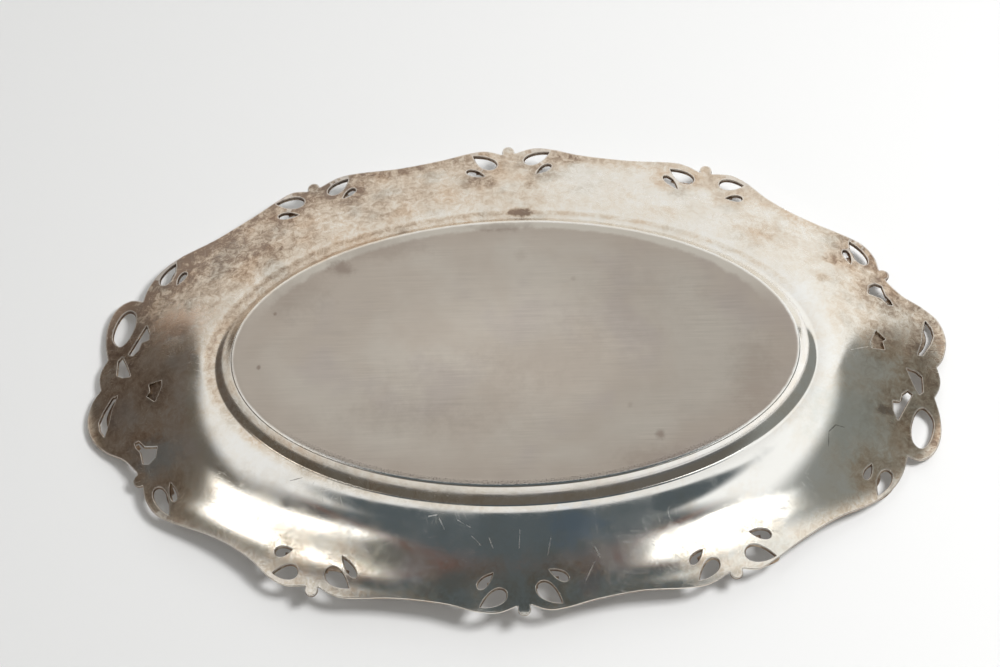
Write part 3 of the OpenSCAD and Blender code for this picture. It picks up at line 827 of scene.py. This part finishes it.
def plate_finish():
    """Worn silver plate: a brushed, dulled base with a painted sheen toward its middle and a painted
    highlight along its far edge, polished wall and flange with clouds of tarnish that thicken toward
    the rim, the ends and the far side, hair scratches, stains, and a pale line along every edge that
    is partly a worn burr and partly a painted highlight."""
    mat, t, out = nodes_of("plate_silver")
    mm, (x, y, _) = places(t)
    edge, rho, share, under = (mark_of(t, k) for k in ("edge", "rho", "share", "under"))
    ragged = minus(t, noise(t, mm, 0.22, 5, 0.65), 0.5)
    base = ramp(t, times_plus(t, ragged, 0.010, rho), 1.024, 1.012)

    # base: fine lines along the tray, broken up in patches
    fine = noise(t, mm, (0.06, 3.2, 1.0), 4, 0.75)
    broad = noise(t, mm, (0.03, 0.8, 1.0), 3, 0.6)
    patch = ramp(t, noise(t, mm, 0.035, 2, 0.5), 0.38, 0.62, 0.35, 1.0)
    lines = times(t, times_plus(t, minus(t, broad, 0.5), 0.6, minus(t, fine, 0.5)), patch)
    cloud = noise(t, mm, 0.02, 4, 0.6, 0.3)
    base_colour = blend(t, ramp(t, cloud, 0.38, 0.62), (0.505, 0.445, 0.385), (0.545, 0.495, 0.435))
    rosy = ramp(t, noise(t, mm, 0.03, 3, 0.5), 0.5, 0.68, 0.0, 0.5)
    base_colour = blend(t, rosy, base_colour, (0.48, 0.425, 0.395))
    tone = times_plus(t, lines, 0.38, ramp(t, x, -60, 115, 1.02, 0.90))
    # painted sheen: the base is made brighter toward its middle
    tone = times(t, tone, ramp(t, rho, 0.15, 0.7, 1.17, 1.0))
    base_colour = put(t, "VectorMath", {0: base_colour, 3: tone}, operation="SCALE")
    rim_of_base = ramp(t, rho, 0.80, 0.97)
    base_colour = blend(t, times(t, rim_of_base, 0.4), base_colour, (0.43, 0.36, 0.305))
    # painted highlight: the outer edge of the base is made paler on its far side only
    pale = times(t, ramp(t, times_plus(t, ragged, 0.05, rho), 0.955, 0.985), ramp(t, y, -12, -40))
    base_colour = blend(t, times(t, pale, 0.7), base_colour, (0.66, 0.62, 0.55))
    for sx, sy, rx, ry, k in SPOTS:
        base_colour = blend(t, times(t, spot(t, mm, sx, sy, rx, ry, ragged), k),
                            base_colour, (0.25, 0.19, 0.155))

    face = minus(t, 1.0, under)
    base_colour = blend(t, times(t, face, 0.65), base_colour, (0.80, 0.765, 0.70))

    # flange: how heavy the tarnish lies
    ends = ramp(t, calc(t, "ABSOLUTE", x), 118, 160)
    far = times(t, ramp(t, y, 10, -50), under)
    left = ramp(t, x, 60, -60)
    near = times(t, ramp(t, y, 20, 55), under)
    depth = times_plus(t, ramp(t, edge, 9.0, 0.5), 0.26, 0.07)
    depth = times_plus(t, ends, ramp(t, x, -150, 150, 0.23, 0.34), depth)
    depth = times_plus(t, times(t, far, ramp(t, share, -0.1, 0.25)),
                       times_plus(t, left, 0.31, 0.15), depth)
    depth = times_plus(t, times(t, under, ramp(t, x, -20, -120)), 0.09, depth)
    wall = times(t, times(t, ramp(t, rho, 1.02, 1.04), ramp(t, share, 0.10, 0.0)), under)
    depth = times_plus(t, wall, times_plus(t, left, 0.22, 0.10), depth)
    crease = times(t, ramp(t, calc(t, "ABSOLUTE", minus(t, share, 0.05)), 0.045, 0.01),
                   ramp(t, times_plus(t, x, 0.2, y), 10, -30))
    depth = times_plus(t, times(t, crease, under), 0.18, depth)
    depth = times_plus(t, near, times(t, ramp(t, edge, 12.0, 26.0), -0.10), depth)
    depth = times(t, depth, ramp(t, under, 0.2, 0.8, 0.45, 1.0))
    for sx, sy, rx, ry, k in FLANGE_SPOTS:
        depth = times_plus(t, times(t, spot(t, mm, sx, sy, rx, ry, ragged), under), k * 0.6, depth)
    tarnish = use(t, TARNISH, {"Place": mm, "Depth": depth})
    scratch = use(t, SCRATCHES, {"Place": mm})
    flange_colour = tarnish["Colour"]
    for tx, ty, rx, ry, k, tint in TINTS:
        here = times(t, times(t, spot(t, mm, tx, ty, rx, ry, ragged), under), k)
        flange_colour = blend(t, here, flange_colour, tint)
    lined, dark_line = None, None
    for x0, y0, x1, y1, kind in CUTS:
        one = cut(t, mm, x0, y0, x1, y1, ragged)
        if kind > 0:
            lined = one if lined is None else calc(t, "MAXIMUM", lined, one)
        else:
            dark_line = one if dark_line is None else calc(t, "MAXIMUM", dark_line, one)
    lined = times(t, calc(t, "MAXIMUM", lined, times(t, scratch["Mark"], 0.35)), under)
    flange_colour = blend(t, times(t, lined, 0.4), flange_colour, (0.95, 0.94, 0.92))
    flange_colour = blend(t, times(t, times(t, dark_line, under), 0.7), flange_colour,
                          (0.2, 0.18, 0.16))
    # pale line along every edge: partly a worn burr, partly a painted highlight
    burr_and_painted_highlight = ramp(t, edge, 0.42, 0.12)
    flange_colour = blend(t, times(t, burr_and_painted_highlight, 0.5), flange_colour, (0.88, 0.84, 0.78))
    colour = blend(t, base, flange_colour, base_colour)

    # worn specks on the near shoulder of the base
    worn = times(t, ramp(t, calc(t, "ABSOLUTE", minus(t, rho, 1.006)), 0.024, 0.008),
                 ramp(t, y, 30, 48))
    grit = noise(t, mm, 1.6, 4, 0.7)
    colour = blend(t, times(t, worn, ramp(t, grit, 0.50, 0.62)), colour, (0.20, 0.17, 0.15))

    rough_base = times_plus(t, noise(t, mm, 0.12, 4, 0.6), 0.12, ramp(t, under, 0.0, 1.0, 0.14, 0.29))
    rough_flange = times_plus(t, tarnish["Amount"], 0.15, 0.045)
    haze = ramp(t, noise(t, mm, 0.04, 5, 0.65), 0.42, 0.66)
    for what, k in ((far, 0.13), (noise(t, mm, 0.15, 4, 0.6), 0.05), (haze, 0.09), (lined, 0.22)):
        rough_flange = times_plus(t, what, k, rough_flange)
    rough = put(t, "Mix", {0: base, 2: rough_flange, 3: rough_base}, data_type="FLOAT")

    wave = noise(t, mm, 0.028, 2, 0.5)
    height = times(t, wave, 0.06)
    height = times_plus(t, times(t, lines, base), 0.010, height)
    height = times_plus(t, tarnish["Height"], times_plus(t, base, -0.012, 0.012), height)
    height = times_plus(t, scratch["Height"], times_plus(t, base, -0.002, 0.003), height)
    height = times_plus(t, times(t, worn, grit), 0.10, height)
    bump = put(t, "Bump", {"Height": height, "Strength": 1.0, "Distance": 0.001})
    put_bsdf(t, out, colour, rough, bump)
    return mat


def put_bsdf(t, out, colour, rough, bump):
    """Metal shader for the finished colour, roughness and bump."""
    shader = put(t, "BsdfPrincipled",
                 {"Base Color": colour, "Metallic": 1.0, "Roughness": rough, "Normal": bump})
    t.links.new(shader, out.inputs[0])


def mount_finish():
    """Struck mounts: worn bright on their tops, darker brown toward the plate and in the hollows."""
    mat, t, out = nodes_of("mount_silver")
    mm, _ = places(t)
    relief = mark_of(t, "relief")
    worn = minus(t, noise(t, mm, 0.5, 4, 0.6), 0.5)
    low = ramp(t, times_plus(t, worn, 0.8, relief), 1.25, 0.3)
    tarnish = use(t, TARNISH, {"Place": mm, "Depth": times_plus(t, low, 0.72, 0.16)})
    scratch = use(t, SCRATCHES, {"Place": mm})
    colour = blend(t, times(t, scratch["Mark"], 0.2), tarnish["Colour"], (0.95, 0.93, 0.90))
    rough = times_plus(t, tarnish["Amount"], 0.22, 0.16)
    height = times_plus(t, scratch["Height"], 0.012, times(t, tarnish["Height"], 0.02))
    height = times_plus(t, noise(t, mm, 0.7, 3, 0.6), 0.03, height)
    put_bsdf(t, out, colour, rough, put(t, "Bump", {"Height": height, "Strength": 1.0, "Distance": 0.001}))
    return mat


# ---------------------------------------------------------------- camera, table and light

STAGE = 6.0                 # width of the table and floor, and their distances from the tray
TABLE_GAP, FLOOR_GAP = 0.0003, 0.0004
AIM = Vector((-0.0065, -0.0172, 0.0178))    # where the camera looks, how far off it stands, and its lens
CAMERA_AWAY, LENS = 1.0926, 92.94
AROUND, BELOW, ROLL = 3.93, 62.0, -5.1      # degrees round from +Y, down under the tray, and about its axis


def camera():
    """Long lens looking up at the underside, turned a little about its own axis."""
    cam = bpy.data.cameras.new("camera")
    cam.lens, cam.sensor_width, cam.clip_start = LENS, 36.0, 0.01
    ob = bpy.data.objects.new("camera", cam)
    bpy.context.scene.collection.objects.link(ob)
    a, e, roll = np.radians((AROUND, BELOW, ROLL))
    back = Vector((np.sin(a) * np.cos(e), np.cos(a) * np.cos(e), -np.sin(e)))
    level = Vector((0, 0, -1)).cross(back).normalized()
    right = level * np.cos(roll) + back.cross(level) * np.sin(roll)
    m = Matrix((right, back.cross(right), back)).transposed().to_4x4()
    m.translation = AIM + back * CAMERA_AWAY
    ob.matrix_world = m
    bpy.context.scene.camera = ob


def flat_stage(name, z, size, colour, see_from_below):
    """Plain stage surface that shows from one side only and lets everything else through."""
    s = size / 2
    me = bpy.data.meshes.new(name)
    me.from_pydata([(-s, -s, z), (s, -s, z), (s, s, z), (-s, s, z)], [],
                   [(0, 1, 2, 3)[::-1 if see_from_below else 1]])
    ob = bpy.data.objects.new(name, me)
    bpy.context.scene.collection.objects.link(ob)
    mat, t, out = nodes_of(name)
    back = put(t, "NewGeometry", out=6)
    if see_from_below:
        # inside the rim only the camera sees the table, so that the tray's face doesn't mirror it
        tray = (1 / cad_box[1][0], 1 / cad_box[1][1], 0)
        spread = vec(t, "MULTIPLY", put(t, "TexCoord", out=3), tray)
        within = calc(t, "LESS_THAN", vec(t, "LENGTH", spread, out=1), 1.0)
        other = minus(t, 1.0, put(t, "LightPath", out=0))
        back = calc(t, "MAXIMUM", times(t, within, other), back)
    matt = put(t, "BsdfDiffuse", {"Color": (*colour, 1)})
    mix = put(t, "MixShader", (back, matt, put(t, "BsdfTransparent")))
    t.links.new(mix, out.inputs[0])
    me.materials.append(mat)
    ob.visible_shadow = False
    if not see_from_below:
        ob.visible_diffuse = ob.visible_glossy = ob.visible_transmission = False


TRAY_MIDDLE = Vector((0, 0, 0.02))


def soft_light(name, place, size, power):
    """Soft light aimed at the tray that lights without being mirrored in it."""
    data = bpy.data.lights.new(name, "AREA")
    data.shape, data.size, data.energy = "SQUARE", size, power
    ob = bpy.data.objects.new(name, data)
    bpy.context.scene.collection.objects.link(ob)
    z = (Vector(place) - TRAY_MIDDLE).normalized()
    x = Vector((0, 1, 0)).cross(z).normalized()
    m = Matrix((x, z.cross(x), z)).transposed().to_4x4()
    m.translation = Vector(place)
    ob.matrix_world = m
    ob.visible_glossy = False


RIM_TOP = 0.03
DEGREES = 57.2958           # degrees in a radian


def toward(az, el, distance_m):
    """Place seen from the tray lying face down: az turns from behind it to its right, el is up from
    its table."""
    a, e = np.radians(az), np.radians(el)
    return (distance_m * np.sin(a) * np.cos(e), -distance_m * np.cos(a) * np.cos(e),
            RIM_TOP - distance_m * np.sin(e))


def world():
    """Soft surroundings. For the tray lying face down: a bright backdrop behind it that arches over high
    up, dimmer sides, a dark ceiling straight above and two soft bright ovals in front. For the tray
    standing up: pale all round and darker overhead."""
    w = bpy.data.worlds.new("studio")
    bpy.context.scene.world = w
    w.use_nodes = True
    t = w.node_tree
    t.nodes.clear()
    sep = t.nodes.new("ShaderNodeSeparateXYZ")
    t.links.new(put(t, "TexCoord", out=0), sep.inputs[0])
    x, y, z = sep.outputs
    az = times(t, calc(t, "ARCTAN2", x, times(t, y, -1.0)), DEGREES)
    el = times(t, calc(t, "ARCSINE", z), -DEGREES)

    def window(value, a, b, c, d):
        """Share that grows from a to b and falls from c to d."""
        return times(t, ramp(t, value, a, b), ramp(t, value, d, c))

    def layer(below, share, colour):
        """Sky with a share of a colour laid over it."""
        return blend(t, share, below, colour)

    def glow(middle, half, line, rise_by):
        """Softly edged bright oval that follows a sloping line across the sky."""
        off = calc(t, "DIVIDE", minus(t, el, line), rise_by)
        side = calc(t, "DIVIDE", minus(t, az, middle), half)
        near = ramp(t, times_plus(t, off, off, times(t, side, side)), 1.0, 0.1)
        return times(t, times(t, near, near), ramp(t, off, -0.35, 0.02))

    sky = layer((0.12, 0.12, 0.12), window(el, 4, 12, 58, 66), (0.13, 0.12, 0.105))
    right_side = times(t, window(az, 48, 54, 118, 140), ramp(t, el, 64, 58))
    left_side = times(t, window(az, -104, -90, -44, -40), ramp(t, el, 48, 42))
    sky = layer(layer(sky, right_side, (0.245, 0.255, 0.242)), left_side, (0.135, 0.12, 0.11))
    sky = layer(sky, window(el, 66.3, 67.8, 68.5, 70), (0.16, 0.10, 0.086))
    sky = layer(sky, ramp(t, el, 68.3, 70.5), (0.085, 0.103, 0.112))
    arch = times(t, window(az, -116, -96, 118, 136), window(el, 50, 60, 73, 77))
    back = times(t, window(az, -42, -39, 49, 51.5), ramp(t, el, 77, 74))
    backdrop = blend(t, ramp(t, az, 0, 44), (0.86, 0.86, 0.85), (1.02, 1.03, 1.02))
    sky = layer(sky, calc(t, "MAXIMUM", arch, back), backdrop)
    left_line = ramp(t, az, -104, -144, 45.0, 68.3)
    right_line = calc(t, "ADD", ramp(t, az, 114, 134, 50, 61), ramp(t, az, 134, 156, 0.0, 7.5))
    sky = layer(sky, glow(-120, 22.5, left_line, 7.0), (3.5, 3.5, 3.4))
    sky = layer(sky, glow(133, 21, right_line, 5.0), (4.2, 4.2, 4.1))
    sky = layer(sky, ramp(t, el, 3, 0), (0.86, 0.86, 0.86))
    sky = layer(sky, ramp(t, el, -8, -22), (0.42, 0.42, 0.43))
    screen = times(t, ramp(t, el, -30, -48), window(az, -70, -30, 60, 110))
    sky = layer(sky, screen, (0.16, 0.16, 0.17))
    sky = layer(sky, ramp(t, el, -62, -76), (0.20, 0.20, 0.21))
    back_ground = put(t, "Background", {"Color": sky, "Strength": 1.0})
    out = t.nodes.new("ShaderNodeOutputWorld")
    t.links.new(back_ground, out.inputs[0])


# ---------------------------------------------------------------- build

camera()
world()
flat_stage("table_top", cad_box[1][2] + TABLE_GAP, STAGE, (0.86, 0.86, 0.86), True)
flat_stage("floor", -FLOOR_GAP, STAGE, (0.74, 0.74, 0.73), False)
soft_light("key_below", toward(88, 56, 1.3), 0.36, 12.2)
soft_light("key_above", (1.4, -1.2, 2.4), 1.8, 12)
soft_light("fill_above", (-1.6, 1.0, 2.0), 2.0, 5)

FINISHES = {"plate_silver": plate_finish(), "mount_silver": mount_finish()}


def finish_piece(ob, node, slot="mount_silver"):
    """Puts a finish on a piece and lets it stand for its solid."""
    ob.data.materials.append(FINISHES[slot])
    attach(ob, "root")
    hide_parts(node)


finish_piece(plate(), "tray_body", "plate_silver")
finish_piece(end_mount("end_mount_1", False), "end_mount_left")
finish_piece(end_mount("end_mount_2", True), "end_mount_right")
for i in range(8):
    finish_piece(bud_mount("bud_and_drops_%d" % (i + 1), i % 4, i > 3), "bud_mount_%d" % (i + 1))
finish_piece(leaf_mount("leaf_and_drops_1", True), "leaf_mount_left")
finish_piece(leaf_mount("leaf_and_drops_2", False), "leaf_mount_right")
for i in range(8):
    run, start, end = REACHES[i % 4]
    finish_piece(edge_strip("reeded_strip_%d" % (i + 1), run, start, end, i > 3), "edge_strip_%d" % (i + 1))

bpy.context.scene.view_settings.view_transform = "Standard"
